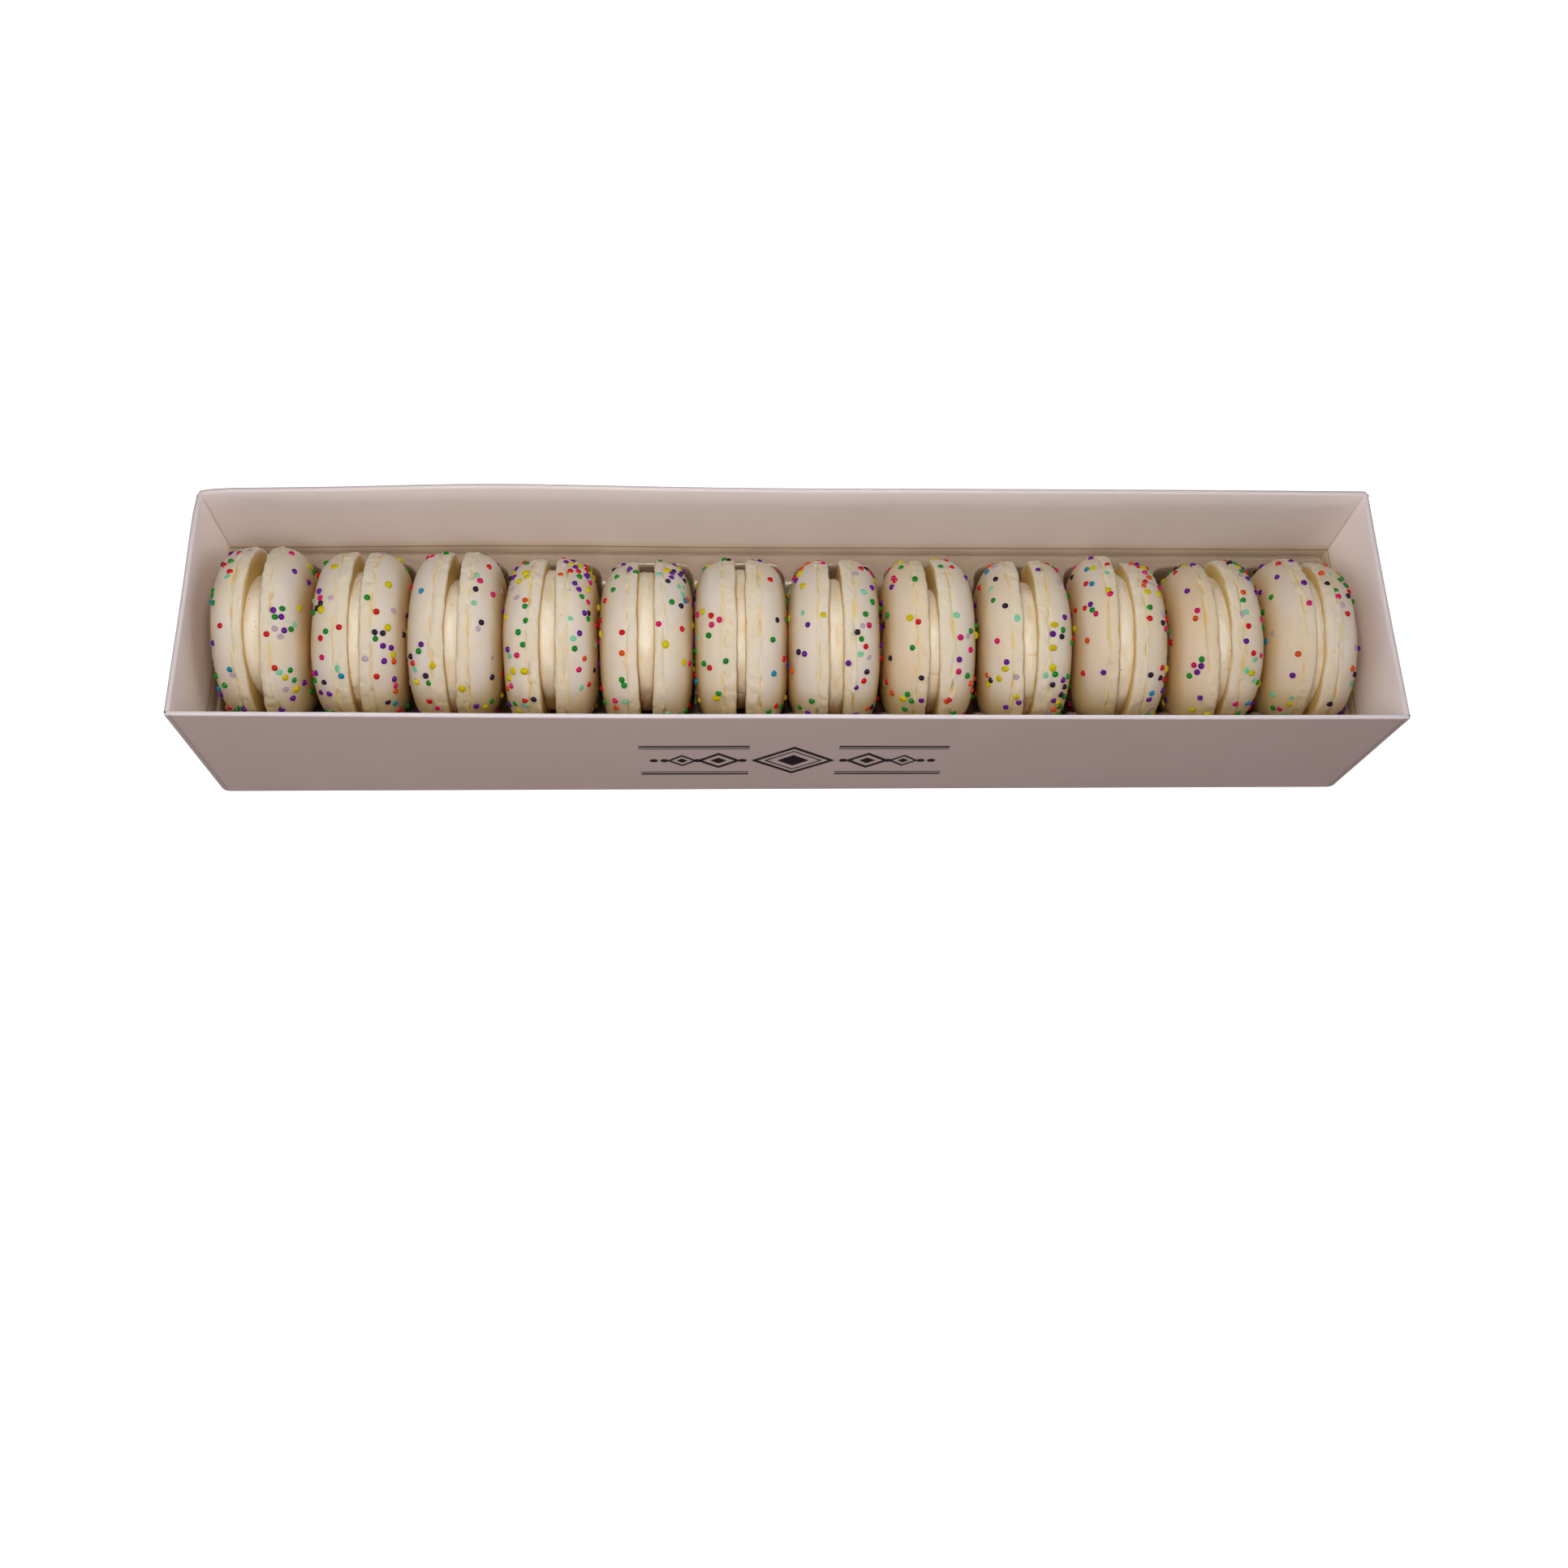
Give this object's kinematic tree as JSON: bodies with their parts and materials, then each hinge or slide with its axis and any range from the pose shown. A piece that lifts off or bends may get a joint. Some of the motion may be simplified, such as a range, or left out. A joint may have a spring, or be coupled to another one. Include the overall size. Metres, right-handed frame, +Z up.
{
  "type": "box of macarons",
  "caption": "Long open card box with a clear formed insert holding a row of pale macarons on edge, each two domed shells and a filling, strewn with coloured sugar pearls.",
  "frame": {"origin": "the middle of the box's underside", "axes": "+X along the row of macarons to the right as seen from the front, +Y from the front wall to the back wall, +Z up"},
  "size_m": [0.307, 0.067, 0.05],
  "materials": {
    "card": "smooth white coated board",
    "clear_plastic": "thin clear formed sheet, glossy",
    "shell": "dry smooth baked almond shell, satin",
    "filling": "smooth vanilla cream, soft sheen"
  },
  "bodies": {
    "root": {"box": "card", "insert": "clear_plastic", "macaron_01_left_shell": "shell", "macaron_01_filling": "filling", "macaron_01_right_shell": "shell", "macaron_02_left_shell": "shell", "macaron_02_filling": "filling", "macaron_02_right_shell": "shell", "macaron_03_left_shell": "shell", "macaron_03_filling": "filling", "macaron_03_right_shell": "shell", "macaron_04_left_shell": "shell", "macaron_04_filling": "filling", "macaron_04_right_shell": "shell", "macaron_05_left_shell": "shell", "macaron_05_filling": "filling", "macaron_05_right_shell": "shell", "macaron_06_left_shell": "shell", "macaron_06_filling": "filling", "macaron_06_right_shell": "shell", "macaron_07_left_shell": "shell", "macaron_07_filling": "filling", "macaron_07_right_shell": "shell", "macaron_08_left_shell": "shell", "macaron_08_filling": "filling", "macaron_08_right_shell": "shell", "macaron_09_left_shell": "shell", "macaron_09_filling": "filling", "macaron_09_right_shell": "shell", "macaron_10_left_shell": "shell", "macaron_10_filling": "filling", "macaron_10_right_shell": "shell", "macaron_11_left_shell": "shell", "macaron_11_filling": "filling", "macaron_11_right_shell": "shell", "macaron_12_left_shell": "shell", "macaron_12_filling": "filling", "macaron_12_right_shell": "shell"}
  },
  "joints": []
}
